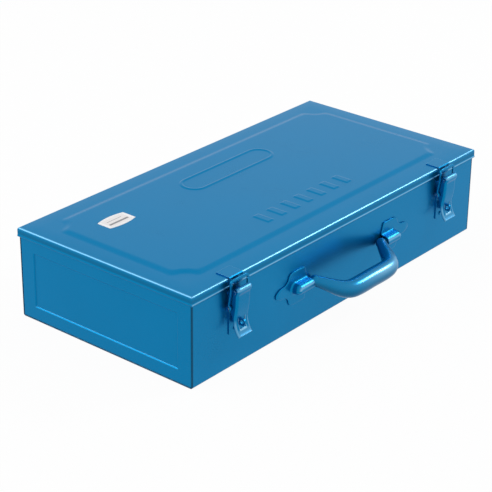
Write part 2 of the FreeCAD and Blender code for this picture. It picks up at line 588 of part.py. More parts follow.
def make_keeper(side_name, side):
    """Keeper folded over the lid's front edge, with the hook the link's bar draws down on."""
    body = new_body(side_name + "_keeper")
    over = "(sheet + lid_gap)"
    top = "latch_datum"
    flange = [("-%s - keeper_sheet" % over, "80.2"), ("-" + over, "80.2"), ("-" + over, top),
              ("keeper_flange - " + over, top), ("keeper_flange - " + over, top + " + keeper_sheet"),
              ("-%s - 0.2" % over, top + " + keeper_sheet"), ("-%s - keeper_sheet" % over, top + " + 0.1")]
    pad(body, "YZ_Plane", [("poly", flange)], "2 * " + KEEPER_HALF, both=True)
    tip = "side_gap - link_out"
    tongue = [("-%s - 0.4" % over, "80.2"), (tip + " + 0.4", "80.2"), (tip, "80.6"), (tip, "84.0"),
              (tip + " + 0.9", "84.0"), (tip + " + 0.9", "81.2"), ("-%s - 0.4" % over, "81.2")]
    pad(body, "YZ_Plane", [("poly", tongue)], "2 * tongue_half", both=True)
    place(body, "%d * latch_x" % side, "-" + FRONT, LATCH_RISE)


def make_tray():
    """Open tray with a turned-out rim, resting between the two ledges, and its three dividers."""
    pan = new_body("tray_pan")
    end = TRAY_START + " + tray_length"
    floor = TRAY_FLOOR
    top = floor + " + tray_height"
    pad(pan, "XY_Plane", [box_of(TRAY_START, end, "-" + TRAY_HALF, TRAY_HALF)], "tray_height", offset=floor)
    soften(pan, "Fillet", "shell_fold", lambda e: level(e, 2, floor))
    cut(pan, "XY_Plane", [box_of(TRAY_START + " + sheet", end + " - sheet", "sheet - " + TRAY_HALF,
                                 TRAY_HALF + " - sheet")], "tray_height", offset=floor + " + sheet", back=True)
    rim = [box_of(TRAY_START, end, "-" + TRAY_HALF, TRAY_HALF),
           box_of(TRAY_START + " + tray_rim", end + " - tray_rim", "tray_rim - " + TRAY_HALF,
                  TRAY_HALF + " - tray_rim")]
    pad(pan, "XY_Plane", rim, "sheet", offset=top + " - sheet")

    low = floor + " + sheet"
    high = "%s + tray_height * 0.72" % floor
    long_wall = new_body("tray_long_divider")
    mid = "-" + TRAY_HALF + " * 0.25"
    pad(long_wall, "XY_Plane", [box_of(TRAY_START + " + sheet", end + " - sheet", mid + " - sheet / 2",
                                       mid + " + sheet / 2")], "(%s) - (%s)" % (high, low), offset=low)
    for name, x, start, stop in (("tray_front_divider", TRAY_START + " + tray_length * 0.5",
                                  "sheet - " + TRAY_HALF, mid + " - sheet / 2"),
                                 ("tray_rear_divider", TRAY_START + " + tray_length * 0.36",
                                  mid + " + sheet / 2", TRAY_HALF + " - sheet")):
        wall = new_body(name)
        pad(wall, "XY_Plane", [box_of(x, x + " + sheet", start, stop)], "(%s) - (%s)" % (high, low), offset=low)


make_shell()
make_end_panel("left_end_panel", -1)
make_end_panel("right_end_panel", 1)
make_ledge("front_tray_ledge", -1)
make_ledge("rear_tray_ledge", 1)
make_lid()
make_label()
for side_name, side in (("left", -1), ("right", 1)):
    make_hinge(side_name, side)
    make_bracket(side_name + "_handle_bracket", side)
    make_latch(side_name, side)
    make_keeper(side_name, side)
make_handle()
make_tray()
doc.recompute()

for item in doc.Objects:
    if "Invalid" in item.State or "Error" in item.State:
        raise RuntimeError("%s did not compute: %s" % (item.Label, item.State))
os.makedirs("parts", exist_ok=True)
for body in parts:
    if body.Shape.isNull() or not body.Shape.isValid():
        raise RuntimeError(body.Label + " has no valid shape")
    if len(body.Shape.Solids) != 1 and not body.Label.endswith("rivets"):
        raise RuntimeError("%s is %d solids" % (body.Label, len(body.Shape.Solids)))
    body.Shape.exportStep("parts/%s.step" % body.Label)
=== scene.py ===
import json
import math

import bmesh
import bpy
import numpy as np
from mathutils import Matrix, Vector


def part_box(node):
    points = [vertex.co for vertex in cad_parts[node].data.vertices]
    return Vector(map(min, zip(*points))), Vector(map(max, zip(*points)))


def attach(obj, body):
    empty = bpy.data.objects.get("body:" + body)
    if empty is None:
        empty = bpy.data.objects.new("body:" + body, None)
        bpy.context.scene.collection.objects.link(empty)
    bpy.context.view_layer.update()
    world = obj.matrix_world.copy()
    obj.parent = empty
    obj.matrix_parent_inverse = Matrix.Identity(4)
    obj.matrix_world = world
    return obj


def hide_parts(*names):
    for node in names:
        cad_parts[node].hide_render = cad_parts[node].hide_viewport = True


bl_info = {
    "name": "Steel Tool Box",
    "version": (1, 0, 0),
    "blender": (4, 5, 0),
    "location": "View3D > Sidebar > Tool Box",
    "description": "Pressed lid, bail handle and draw latches of a flat enamelled steel tool box",
    "category": "Add Mesh",
}

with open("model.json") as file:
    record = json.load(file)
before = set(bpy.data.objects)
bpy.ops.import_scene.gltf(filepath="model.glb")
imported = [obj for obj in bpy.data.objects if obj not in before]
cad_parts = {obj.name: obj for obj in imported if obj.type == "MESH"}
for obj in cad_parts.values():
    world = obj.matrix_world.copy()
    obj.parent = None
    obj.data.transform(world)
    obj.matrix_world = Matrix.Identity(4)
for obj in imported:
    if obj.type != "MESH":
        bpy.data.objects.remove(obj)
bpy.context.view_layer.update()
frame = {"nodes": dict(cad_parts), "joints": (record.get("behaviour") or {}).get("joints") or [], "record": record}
RECORD = frame["record"]
NODES = frame["nodes"]
JOINTS = {joint["name"]: joint for joint in frame["joints"]}
SIDES = ("left", "right")
MM = 0.001

BLUE = "blue_enamel"
TRAY_BLUE = "tray_enamel"
STEEL = "bare_steel"
PAPER = "label_paper"


# ---------------------------------------------------------------- sizes and colours a user sets

def length(name, description, millimetres):
    """A length that a user sets, with its default in millimetres."""
    return bpy.props.FloatProperty(name=name, description=description, default=millimetres * MM,
                                   unit="LENGTH", subtype="DISTANCE", precision=5)


def colour(name, description, value):
    """A colour that a user sets."""
    return bpy.props.FloatVectorProperty(name=name, description=description, default=value,
                                         size=3, min=0.0, max=1.0, subtype="COLOR")


class LidSizes(bpy.types.PropertyGroup):
    """Pressed lid: the folds, the skirt's bead, the raised field and what is pressed into it."""
    sheet: length("Sheet", "Thickness of the lid's steel", 0.8)
    fold: length("Fold radius", "Outer radius of the folded top edges", 1.9)
    bead: length("Bead", "How far the bead stands out from the skirt", 0.4)
    bead_height: length("Bead height", "Height of the bead at the skirt's lower edge", 2.0)
    field_side: length("Field side margin", "From the lid's ends to the raised field", 17.0)
    field_front: length("Field front margin", "From the lid's front edge to the raised field", 21.0)
    field_rear: length("Field rear margin", "From the lid's rear edge to the raised field", 17.0)
    field_rise: length("Field height", "Height of the raised field", 1.6)
    field_slope: length("Field slope", "Width of the slope round the raised field", 7.0)
    field_corner: length("Field corner", "Radius of the bites at the field's corners", 16.0)
    emboss: length("Emboss height", "Height of the raised bar and of the ribs", 0.7)
    bar_x: length("Bar place", "Middle of the raised bar along the lid", 9.0)
    bar_in: length("Bar margin", "From the lid's rear edge to the middle of the bar", 56.0)
    bar_half: length("Bar half length", "Half the straight part of the raised bar", 46.0)
    bar_radius: length("Bar end radius", "Radius of the raised bar's round ends", 14.5)
    bar_rim: length("Bar rim", "Width of the raised rim of the bar", 4.0)
    rib_first: length("First rib", "Middle of the first short rib along the lid", -54.0)
    rib_step: length("Rib step", "Distance from rib to rib", 19.0)
    rib_in: length("Rib margin", "From the lid's front edge to the middle of the ribs", 51.0)
    rib_length: length("Rib length", "Length of a short rib", 19.0)
    rib_width: length("Rib width", "Width of a short rib", 9.0)
    rib_count: bpy.props.IntProperty(name="Ribs", description="How many short ribs stand in the row",
                                     default=7, min=1)


class HandleSizes(bpy.types.PropertyGroup):
    """Bail handle of one swelling round bar."""
    grip: length("Grip radius", "Radius of the bar at the middle of the grip", 8.5)
    arm: length("Arm radius", "Radius of the bar where it meets the brackets", 4.8)
    elbow: length("Elbow radius", "Radius of the round elbows at the arms' ends", 5.1)
    pin: length("Pin radius", "Radius of the ends that turn in the brackets", 3.6)
    reach: length("Reach", "From the pivot axis to the middle of the grip", 25.9)
    half: length("Half span", "From the middle to the shoulder of an arm", 54.5)
    droop: bpy.props.FloatProperty(name="Droop", description="How far below level the handle stands at rest",
                                   default=math.radians(19.1), unit="ROTATION", subtype="ANGLE")


class BracketSizes(bpy.types.PropertyGroup):
    """Pressed bracket of the handle."""
    plate: length("Plate", "Thickness of a bracket's sheet", 1.2)
    radius: length("Boss radius", "Outer radius of the half-round boss", 4.9)
    length: length("Boss length", "Length of the boss from its open end to its round nose", 22.0)


class LatchSizes(bpy.types.PropertyGroup):
    """Lever and link of a draw latch."""
    half: length("Lever half width", "Half the width of a lever", 8.0)
    sheet: length("Lever sheet", "Thickness of a lever's steel", 0.8)
    corner: length("Lever corner", "Radius of the fold between a lever's face and its sides", 1.5)
    slot_half: length("Slot half width", "Half the width of the slot for the staple", 4.0)
    slot_low: length("Slot low end", "Height of the slot's lower end", 39.6)
    slot_high: length("Slot high end", "Height of the slot's upper end", 50.0)
    leg_width: length("Link leg", "Width of a link's legs", 2.5)
    link_thick: length("Link thickness", "Thickness of a link", 1.4)
    bar_height: length("Link bar", "Height of a link's top bar", 2.6)
    link_corner: length("Link corner", "Radius of a link's upper corners", 2.6)
    eye: length("Eye radius", "Outer radius of the rolled eyes on the link pin", 2.4)


class Finish(bpy.types.PropertyGroup):
    """Colours and fineness of the finishes."""
    enamel: colour("Enamel", "Colour of the enamel outside", (0.0, 0.197, 0.43))
    # Set a little darker than the box's enamel, a painted shade on the handle.
    handle: colour("Handle enamel", "Colour of the enamel on the handle", (0.0, 0.185, 0.4))
    tray: colour("Tray enamel", "Colour of the enamel on the tray", (0.0, 0.185, 0.42))
    steel: colour("Bare steel", "Colour of pins and rivets", (0.24, 0.34, 0.42))
    paper: colour("Label", "Colour of the label", (1.0, 1.0, 1.0))
    ink: colour("Label rules", "Colour of the rules on the label", (0.09, 0.1, 0.12))
    floor: colour("Floor", "Colour of the floor", (0.93, 0.93, 0.93))
    peel: length("Orange peel", "Depth of the enamel's orange peel", 0.02)
    metal: bpy.props.FloatProperty(name="Metal flake", description="Share of metal flake in the enamel",
                                   default=0.78, min=0.0, max=1.0, subtype="FACTOR")


# ---------------------------------------------------------------- surfaces

def graded(*stops):
    """Positions in rising stops; stops alternate with the longest step allowed between them."""
    ends = stops[0::2]
    runs = [np.linspace(a, b, max(1, math.ceil((b - a) / step - 1e-6)), endpoint=False)
            for a, b, step in zip(ends, ends[1:], stops[1::2])]
    return np.concatenate(runs + [np.array([ends[-1]])])


def ease(t):
    """Smooth step: 0 below 0, 1 above 1 and 3t^2 - 2t^3 between."""
    t = np.clip(t, 0.0, 1.0)
    return t * t * (3.0 - 2.0 * t)


def blend_low(first, second, width):
    """The lower of two heights, rounded off by a parabola where they come within a width."""
    near = np.clip(0.5 + 0.5 * (second - first) / width, 0.0, 1.0)
    return second + (first - second) * near - width * near * (1.0 - near)


def through(knots, values, where):
    """Natural cubic spline: each span is the cubic whose second derivatives agree at the knots
    and vanish at both ends."""
    knots = np.asarray(knots, float)
    values = np.asarray(values, float)
    gaps = np.diff(knots)
    count = len(knots)
    inner = np.arange(1, count - 1)
    lhs = np.eye(count)
    lhs[inner, inner - 1] = gaps[:-1]
    lhs[inner, inner] = 2.0 * (gaps[:-1] + gaps[1:])
    lhs[inner, inner + 1] = gaps[1:]
    rhs = np.zeros_like(values)
    rhs[1:-1] = 6.0 * np.diff(np.diff(values, axis=0) / gaps[:, None], axis=0)
    bend = np.linalg.solve(lhs, rhs)
    k = np.clip(np.searchsorted(knots, where) - 1, 0, count - 2)
    gap = gaps[k][:, None]
    after = (where - knots[k])[:, None]
    before = gap - after
    return ((bend[k] * before ** 3 + bend[k + 1] * after ** 3) / (6.0 * gap)
            + (values[k] / gap - bend[k] * gap / 6.0) * before
            + (values[k + 1] / gap - bend[k + 1] * gap / 6.0) * after)


def run_length(points):
    """Distance along a row of points from the first one to each."""
    steps = np.linalg.norm(np.diff(points, axis=0), axis=1)
    return np.concatenate([[0.0], np.cumsum(steps)])


def grid_faces(rows, columns, wrap_columns=False):
    """Quads over a grid of points numbered row by row, the columns closed in a ring if asked."""
    i = np.arange(rows - 1)[:, None]
    j = np.arange(columns if wrap_columns else columns - 1)[None, :]
    j2 = (j + 1) % columns
    corners = [i * columns + j, (i + 1) * columns + j, (i + 1) * columns + j2, i * columns + j2]
    return np.stack(np.broadcast_arrays(*corners), axis=-1).reshape(-1, 4)


def make_piece(name, patches, weld=0.0, wear_and_painted_light=None):
    """One object from patches of (points on a grid, faces); points closer than weld are joined.
    The last argument, one number per point of wear and of painted highlight and shade, goes into the mesh as an
    attribute of that name."""
    points = np.concatenate([p.reshape(-1, 3) for p, faces in patches])
    starts = np.cumsum([0] + [p.reshape(-1, 3).shape[0] for p, faces in patches])[:-1]
    faces = np.concatenate([f + start for (p, f), start in zip(patches, starts)])
    mesh = bpy.data.meshes.new(name)
    mesh.from_pydata(points.tolist(), [], faces.tolist())
    if wear_and_painted_light is not None:
        wear_sheen_and_shade = mesh.attributes.new("wear_and_painted_light", "FLOAT", "POINT")
        wear_sheen_and_shade.data.foreach_set("value", wear_and_painted_light.reshape(-1).astype(np.float32))
    if weld > 0.0:
        work = bmesh.new()
        work.from_mesh(mesh)
        bmesh.ops.remove_doubles(work, verts=work.verts, dist=weld)
        bmesh.ops.dissolve_degenerate(work, edges=work.edges, dist=weld)
        work.to_mesh(mesh)
        work.free()
    mesh.shade_smooth()
    piece = bpy.data.objects.new(name, mesh)
    bpy.context.scene.collection.objects.link(piece)
    return piece


def turned(profile, axis_point, count):
    """A surface turned about an X axis in count steps; profile rows are (x, radius)."""
    angle = np.linspace(0.0, 2.0 * math.pi, count, endpoint=False)
    x = np.broadcast_to(profile[:, 0][:, None], (len(profile), count))
    y = profile[:, 1][:, None] * np.cos(angle)
    z = profile[:, 1][:, None] * np.sin(angle)
    points = np.stack([x, y, z], axis=-1) + np.asarray(axis_point)
    faces = grid_faces(len(profile), count, wrap_columns=True)
    if profile[-1, 0] > profile[0, 0]:
        faces = faces[:, ::-1]
    return points, faces


def add_modifier(piece, kind, name, **settings):
    """A modifier with its settings."""
    modifier = piece.modifiers.new(name, kind)
    for key, value in settings.items():
        setattr(modifier, key, value)


def soften_edges(piece, width):
    """Rounds a piece's sharp edges over a small width."""
    add_modifier(piece, "BEVEL", "soft edges", width=width, segments=2, limit_method="ANGLE",
                 angle_limit=math.radians(50))


def finish_piece(piece, material, body, stands_for):
    """Gives a piece its material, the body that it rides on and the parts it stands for."""
    piece.data.materials.append(material)
    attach(piece, body)
    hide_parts(*stands_for)


# ---------------------------------------------------------------- shader maths

class Signal:
    """A socket that is used like a number, so that shader maths reads as plain arithmetic."""

    def __init__(self, graph, socket):
        """Keeps the graph that new nodes go into and the socket itself."""
        self.graph = graph
        self.socket = socket

    def __add__(self, other):
        return self.graph.maths("ADD", self, other)

    __radd__ = __add__

    def __mul__(self, other):
        return self.graph.maths("MULTIPLY", self, other)

    __rmul__ = __mul__

    def __sub__(self, other):
        return self.graph.maths("SUBTRACT", self, other)

    def __rsub__(self, other):
        return self.graph.maths("SUBTRACT", other, self)

    def __truediv__(self, other):
        return self.graph.maths("DIVIDE", self, other)

    def __lt__(self, other):
        return self.graph.maths("LESS_THAN", self, other)

    def clamp(self):
        """Held between 0 and 1."""
        return self.graph.add("ShaderNodeClamp", inputs={"Value": self})

    def size(self):
        """Without its sign."""
        return self.graph.maths("ABSOLUTE", self)

    def highest(self, other):
        """The greater of the two."""
        return self.graph.maths("MAXIMUM", self, other)

    def rise(self, low, high):
        """0 below low, 1 above high and a smooth step between."""
        return self.graph.add("ShaderNodeMapRange", {"interpolation_type": "SMOOTHSTEP"},
                              {"Value": self, "From Min": low, "From Max": high})


class Graph:
    """The node tree of one material."""

    def __init__(self, name):
        """A new material whose tree holds only its output."""
        self.material = bpy.data.materials.new(name)
        self.material.use_nodes = True
        self.tree = self.material.node_tree
        self.tree.nodes.clear()
        self.output = self.tree.nodes.new("ShaderNodeOutputMaterial")

    def add(self, kind, settings=None, inputs=None, output=0):
        """Adds a node: settings are set first, then inputs by socket name or number."""
        node = self.tree.nodes.new(kind)
        for key, value in (settings or {}).items():
            setattr(node, key, value)
        for key, value in (inputs or {}).items():
            self.feed(node.inputs[key], value)
        return Signal(self, node.outputs[output])

    def feed(self, socket, value):
        """Links a signal to a socket, or sets the socket's own value."""
        if isinstance(value, Signal):
            self.tree.links.new(value.socket, socket)
        else:
            socket.default_value = value

    def maths(self, operation, *values):
        """One step of arithmetic on signals or numbers."""
        return self.add("ShaderNodeMath", {"operation": operation}, dict(enumerate(values)))

    def mix(self, factor, first, second):
        """first where factor is 0, second where it is 1."""
        return self.add("ShaderNodeMix", {"data_type": "RGBA"}, {0: factor, 6: first, 7: second}, 2)

    def scaled(self, tint, amount):
        """A colour, three numbers, times a number."""
        return self.add("ShaderNodeVectorMath", {"operation": "SCALE"}, {0: tint, "Scale": amount})

    def place(self):
        """Where a point lies in its object's own frame, in metres."""
        return self.add("ShaderNodeTexCoord", output="Object")

    def axis(self, vector, index):
        """One coordinate of a vector, X, Y or Z."""
        return self.add("ShaderNodeSeparateXYZ", inputs={0: vector}, output=index)

    def noise(self, vector, scale, detail=2.0, rough=0.5):
        """Smooth noise with scale waves to a metre."""
        return self.add("ShaderNodeTexNoise", inputs={"Vector": vector, "Scale": scale, "Detail": detail,
                                                      "Roughness": rough})

    def surface(self, **inputs):
        """A Principled shader on the output; keys are socket names with _ for a space."""
        named = {key.replace("_", " "): value for key, value in inputs.items()}
        shader = self.add("ShaderNodeBsdfPrincipled", inputs=named)
        self.tree.links.new(shader.socket, self.output.inputs["Surface"])
        return self.material


def rgba(value):
    """A colour of three numbers, made opaque."""
    return (*value, 1.0)


def edge_mask(graph, reach):
    """0 on flat metal and towards 1 on a fold or cut edge, from how far rounding turns the normal."""
    rounded = graph.add("ShaderNodeBevel", {"samples": 6}, {"Radius": reach})
    flat = graph.add("ShaderNodeNewGeometry", output="Normal")
    along = graph.add("ShaderNodeVectorMath", {"operation": "DOT_PRODUCT"}, {0: rounded, 1: flat}, "Value")
    return rounded, (1.0 - along).rise(0.004, 0.16)


def enamel(name, tint, metal, peel, coat, below=0.0):
    """Stoved metallic enamel: fine flake, slow drifts of tone, orange peel, and a pale enamel on edges that face
    up, partly thin worn paint and partly a painted highlight.
    A per-point attribute mixes in the pale enamel where it is above 0, painted highlight and wear, and darkens
    where it is below, painted shade. Corner seams get painted shade and the foot a painted contact shadow, and
    faces that look down are darker by the share below, painted shade."""
    graph = Graph(name)
    place = graph.place()
    rounded, edge = edge_mask(graph, 0.4 * MM)
    facing_up = graph.axis(graph.add("ShaderNodeTexCoord", output="Normal"), "Z")
    upward = facing_up.rise(-0.1, 0.5)
    # Per-point attribute: above 0 it is wear and painted highlight, below 0 painted shade.
    wear_and_painted_light_level = graph.add("ShaderNodeAttribute", {"attribute_name": "wear_and_painted_light"}, output="Fac")
    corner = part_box("body_shell")[1]
    # The corner seams and the foot are darkened: painted shade in the seams and a painted contact shadow along the
    # foot.
    seam_start, seam_full = 1.9 * MM, 0.6 * MM
    at_end = graph.axis(place, "X").size().rise(corner.x - seam_start, corner.x - seam_full)
    at_face = graph.axis(place, "Y").size().rise(corner.y - seam_start, corner.y - seam_full)
    height = graph.axis(place, "Z")
    foot = 1.0 - height.rise(0.4 * MM, 1.6 * MM)
    painted_seam_and_foot_shade = (at_end * at_face * (height < 0.9 * corner.z)).highest(foot)
    flake = graph.noise(place, 2600.0, 1.0)
    drift = graph.noise(place, 16.0, 3.0)
    peel_wave = graph.noise(place, 520.0, 1.5)
    scuff = graph.noise(place, 90.0, 5.0, 0.7).rise(0.6, 0.8)
    tone = 0.88 + flake * 0.14 + drift * 0.10
    base = graph.scaled(tint, tone)
    # Pale enamel for edges and for the attribute above 0: thin worn paint and a painted highlight.
    pale_wear_and_sheen = rgba((0.32 + tint[0], 0.53 + 0.6 * tint[1], 0.6 + 0.65 * tint[2]))
    bright = wear_and_painted_light_level.clamp()
    # Darkening from the seams and foot, the attribute below 0 and faces that look down: all painted shade.
    shade = 0.7 * painted_seam_and_foot_shade + (bright - wear_and_painted_light_level) + below * (1.0 - facing_up.rise(-0.3, 0.5))
    shaded = graph.scaled(base, 1.0 - shade)
    # Edges that face up and points whose attribute is above 0 go toward the pale enamel: painted highlight
    # together with worn paint.
    wear_sheen_and_shade = graph.mix((edge * upward * 0.8).highest(bright) * (0.5 + 0.6 * drift), shaded, pale_wear_and_sheen)
    rough = 0.23 + 0.08 * drift + 0.05 * flake + 0.08 * scuff
    bump = graph.add("ShaderNodeBump", inputs={"Strength": 0.3, "Distance": peel,
                                               "Height": peel_wave + 0.2 * flake, "Normal": rounded})
    return graph.surface(Base_Color=wear_sheen_and_shade, Roughness=rough, Metallic=metal, Normal=bump,
                         Specular_Tint=rgba((0.78, 0.9, 1.0)), Specular_IOR_Level=0.1,
                         Coat_Weight=coat, Coat_Roughness=0.06)


def zinc(name, tint, overspray):
    """Dull plated steel with fine turned grain, under a thin overspray of enamel worn off in spots."""
    graph = Graph(name)
    place = graph.place()
    rounded, edge = edge_mask(graph, 0.3 * MM)
    grain = graph.noise(place, 3000.0, 2.0)
    spots = graph.noise(place, 420.0, 4.0)
    bare = graph.mix(grain, rgba([0.7 * c for c in tint]), rgba(tint))
    base = graph.mix(spots.rise(0.56, 0.66), rgba(overspray), bare)
    bright = graph.mix(edge * 0.5, base, rgba((0.4, 0.6, 0.72)))
    bump = graph.add("ShaderNodeBump", inputs={"Strength": 0.3, "Distance": 0.01 * MM, "Height": grain,
                                               "Normal": rounded})
    return graph.surface(Base_Color=bright, Metallic=1.0, Roughness=0.3 + 0.15 * spots, Normal=bump)


def label_paper(name, tint, ink, low, high):
    """Coated label: white rim, a faintly toned field and two plain dark rules, with no lettering."""
    graph = Graph(name)
    place = graph.place()
    x = (graph.axis(place, "X") - 0.5 * (low[0] + high[0])) / (high[0] - low[0])
    y = (graph.axis(place, "Y") - 0.5 * (low[1] + high[1])) / (high[1] - low[1])
    tooth = graph.noise(place, 1800.0, 3.0)
    # Both run from -0.5 to 0.5 over the label. The field's long sides bow less than the label's.
    bow = 0.40 - 0.34 * x * x
    field = (bow - y.size()).rise(0.0, 0.03) * (0.42 - x.size()).rise(0.0, 0.02)
    upper = (0.03 - (y - 0.13).size()).rise(0.0, 0.02) * ((x + 0.02).size() < 0.28)
    lower = (0.07 - (y + 0.14).size()).rise(0.0, 0.02) * (x.size() < 0.36)
    rules = (upper * 0.6).highest(lower * 0.8)
    toned = graph.mix(field, rgba(tint), rgba([0.9 * tint[0], 0.86 * tint[1], 0.84 * tint[2]]))
    inked = graph.mix(rules, toned, rgba(ink))
    base = graph.mix(tooth * 0.03, inked, rgba([0.6, 0.6, 0.6]))
    bump = graph.add("ShaderNodeBump", inputs={"Strength": 0.2, "Distance": 0.01 * MM, "Height": tooth})
    return graph.surface(Base_Color=base, Roughness=0.42 + 0.1 * tooth, Normal=bump)


def floor_paint(name, tint):
    """Pale floor that the camera and glossy metal see as near white, with the shadow left in."""
    graph = Graph(name)
    camera, glossy, through_glass = [graph.add("ShaderNodeLightPath", output=ray)
                                     for ray in ("Is Camera Ray", "Is Glossy Ray", "Is Transmission Ray")]
    mottle = graph.noise(graph.place(), 6.0, 2.0)
    matt = graph.add("ShaderNodeBsdfDiffuse", inputs={"Color": graph.scaled(tint, 0.98 + 0.02 * mottle)})
    glow = graph.add("ShaderNodeEmission", inputs={"Color": (1.0, 1.0, 1.0, 1.0), "Strength": 1.0})
    share = (camera * 0.96).highest(glossy * 0.9).highest(through_glass * 0.85)
    both = graph.add("ShaderNodeMixShader", inputs={0: share, 1: matt, 2: glow})
    graph.tree.links.new(both.socket, graph.output.inputs["Surface"])
    return graph.material


def finish(name):
    """The material of that name, made the first time it is asked for."""
    if name in bpy.data.materials:
        return bpy.data.materials[name]
    look = bpy.context.scene.tool_box_finish
    if name == "enamel":
        return enamel(name, look.enamel, look.metal, look.peel, 0.04)
    if name == "handle_enamel":
        # The handle's faces that look down are darkened by the share below, a painted shade.
        return enamel(name, look.handle, look.metal, 0.5 * look.peel, 0.22, below=0.35)
    if name == "tray_finish":
        return enamel(name, look.tray, look.metal, look.peel, 0.06)
    if name == "zinc":
        return zinc(name, look.steel, look.enamel)
    if name == "label":
        return label_paper(name, look.paper, look.ink, *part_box("label_blank"))
    return floor_paint(name, look.floor)


# ---------------------------------------------------------------- operators

class TOOLBOX_OT_lid(bpy.types.Operator):
    """Pressed lid as one folded sheet with its skirt, bead, raised field and embossing"""
    bl_idname = "tool_box.lid"
    bl_label = "Pressed Lid"

    def execute(self, context):
        size = context.scene.tool_box_lid
        low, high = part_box("lid_panel")
        half_x = high.x - size.bead
        front = low.y + size.bead
        rear = high.y
        foot = low.z
        brim = high.z - size.field_rise - size.emboss
        skirt = brim - foot

        def edge(flat_low, flat_high, middle):
            """Across the lid: flat coordinate and drop, through fold and skirt at both ends."""
            angle = np.linspace(0.0, 0.5 * math.pi, 7)[1:]
            beads = np.linspace(size.bead_height, 0.0, 8)
            down = np.concatenate([np.linspace(size.fold, skirt - size.bead_height, 4, endpoint=False)[1:],
                                   skirt - beads])
            bent = size.fold * (1.0 - np.sin(angle))
            drop = np.concatenate([size.fold * (1.0 - np.cos(angle)), down])
            inset = np.concatenate([bent, np.zeros(len(down))])
            flat = np.concatenate([[flat_low + size.fold], middle, [flat_high - size.fold]])
            where = np.concatenate([(flat_low + inset)[::-1], flat, flat_high - inset])
            return where, np.concatenate([drop[::-1], np.zeros(len(flat)), drop])

        left = -half_x + size.field_side
        right = half_x - size.field_side
        near = front + size.field_front
        far = rear - size.field_rear
        corner = size.field_corner + size.field_slope
        bar_y = rear - size.bar_in
        rib_y = front + size.rib_in
        bar_end = size.bar_half + size.bar_radius
        wide, fine, close = 4.5 * MM, 1.4 * MM, 0.75 * MM
        xs, x_drop = edge(-half_x, half_x, graded(
            left - close, fine, left + corner, wide,
            min(size.rib_first - size.rib_width, size.bar_x - bar_end), 0.8 * MM,
            max(size.rib_first + size.rib_count * size.rib_step, size.bar_x + bar_end), wide,
            right - corner, fine, right + close))
        ys, y_drop = edge(front, rear, graded(
            near - close, close, near + size.field_slope + close, fine, rib_y - 0.6 * size.rib_length, close,
            rib_y + 0.6 * size.rib_length, wide, bar_y - size.bar_radius - close, close,
            bar_y + size.bar_radius + close, fine, far + close))

        x, y = np.meshgrid(xs, ys, indexing="ij")
        drop = np.maximum(x_drop[:, None], y_drop[None, :])
        depth = np.minimum.reduce([x - left, right - x, y - near, far - y])
        for a in (left, right):
            for b in (near, far):
                depth = blend_low(depth, np.hypot(x - a, y - b) - size.field_corner, 5.0 * MM)
        rise = size.field_rise * ease(depth / size.field_slope)
        # A ring of even height round the bar, and a low block for each rib, with eased sides.
        crease = 1.4 * MM
        ring = np.hypot(np.maximum(np.abs(x - size.bar_x) - size.bar_half, 0.0), y - bar_y)
        bar = ease((ring - size.bar_radius + size.bar_rim) / crease) * ease((size.bar_radius - ring) / crease)
        index = np.clip(np.round((x - size.rib_first) / size.rib_step), 0, size.rib_count - 1)
        off = np.abs(x - size.rib_first - index * size.rib_step)
        rib = (ease((0.5 * size.rib_width - off) / crease)
               * ease((0.5 * size.rib_length - np.abs(y - rib_y)) / crease))
        down_bead = np.clip((drop - skirt + size.bead_height) / size.bead_height, 0.0, 1.0)
        bulge = size.bead * np.sin(math.pi * down_bead)
        beyond_x = (x_drop > size.fold * 0.999)[:, None]
        beyond_front = ((y_drop > size.fold * 0.999) & (ys < 0.0))[None, :]
        x = x + np.where(beyond_x, np.sign(x) * bulge, 0.0)
        y = y - np.where(beyond_front, bulge, 0.0)
        z = brim - drop + rise + size.emboss * np.maximum(bar, rib)
        points = np.stack([x, y, z], axis=-1)
        # Pale on the folds, partly worn paint and partly painted highlight; pale on the front and rear skirts'
        # bead, a painted highlight; and darker on the skirt between, a painted shade.
        fold_wear_and_sheen = np.exp(-((drop / size.fold - 0.28) / 0.26) ** 2) * (drop > 0.0)
        bead_painted_highlight = np.exp(-((drop - skirt + 0.62 * size.bead_height) / (0.24 * size.bead_height)) ** 2)
        bead_painted_highlight *= ~beyond_x
        shaded = ease((drop - size.fold) / (2.0 * MM)) * ease((skirt - size.bead_height - drop) / (1.0 * MM))
        lid = make_piece("lid_pressing", [(points, grid_faces(len(xs), len(ys)))], weld=0.002 * MM,
                         wear_and_painted_light=np.maximum(0.6 * fold_wear_and_sheen, 0.85 * bead_painted_highlight) - 0.25 * shaded)
        add_modifier(lid, "SOLIDIFY", "sheet", thickness=size.sheet, offset=-1.0)
        finish_piece(lid, finish("enamel"), "lid", ["lid_panel"])
        return {"FINISHED"}


class TOOLBOX_OT_label(bpy.types.Operator):
    """Plain label with bowed long sides"""
    bl_idname = "tool_box.label"
    bl_label = "Plain Label"

    def execute(self, context):
        low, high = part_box("label_blank")
        # The label is 0.76 as wide at its ends as in its middle.
        across = np.linspace(-1.0, 1.0, 33)
        width = 0.76 + 0.24 * (1.0 - across ** 2)
        s, t = np.meshgrid(across, np.linspace(-1.0, 1.0, 9), indexing="ij")
        x = 0.5 * (low.x + high.x) + 0.5 * (high.x - low.x) * s
        y = 0.5 * (low.y + high.y) + 0.5 * (high.y - low.y) * t * width[:, None]
        z = np.full_like(x, high.z)
        label = make_piece("plain_label", [(np.stack([x, y, z], axis=-1), grid_faces(*s.shape))])
        add_modifier(label, "SOLIDIFY", "stock", thickness=high.z - low.z, offset=-1.0)
        finish_piece(label, finish("label"), "lid", ["label_blank"])
        return {"FINISHED"}


